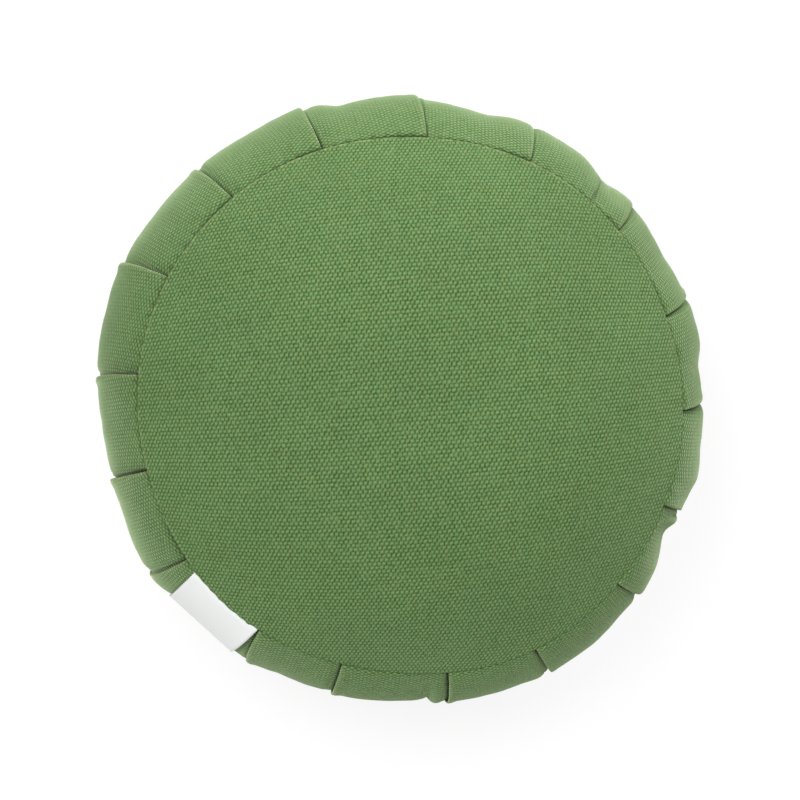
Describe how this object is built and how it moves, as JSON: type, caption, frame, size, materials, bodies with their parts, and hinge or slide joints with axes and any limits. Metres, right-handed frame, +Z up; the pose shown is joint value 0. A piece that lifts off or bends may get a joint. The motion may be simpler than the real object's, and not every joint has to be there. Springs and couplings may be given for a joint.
{
  "type": "zafu meditation cushion",
  "caption": "Round crowned floor cushion of basket-weave canvas: two disc panels joined by a side strip in knife pleats, with a bare white ribbon label sewn into the top seam.",
  "frame": {"origin": "centre of the flat patch the cushion rests on, on the floor", "axes": "+Z up through the crown, +Y towards the top of the picture's view, +X to its right"},
  "size_m": [0.3286, 0.3292, 0.16],
  "materials": {
    "green_canvas": "matt basket-weave cotton canvas, leaf green, slightly fuzzy",
    "white_ribbon": "smooth white ribbon with a faint sheen, bare"
  },
  "bodies": {
    "root": {"side_band": "green_canvas", "top_panel": "green_canvas", "bottom_panel": "green_canvas", "label": "white_ribbon"}
  },
  "joints": []
}
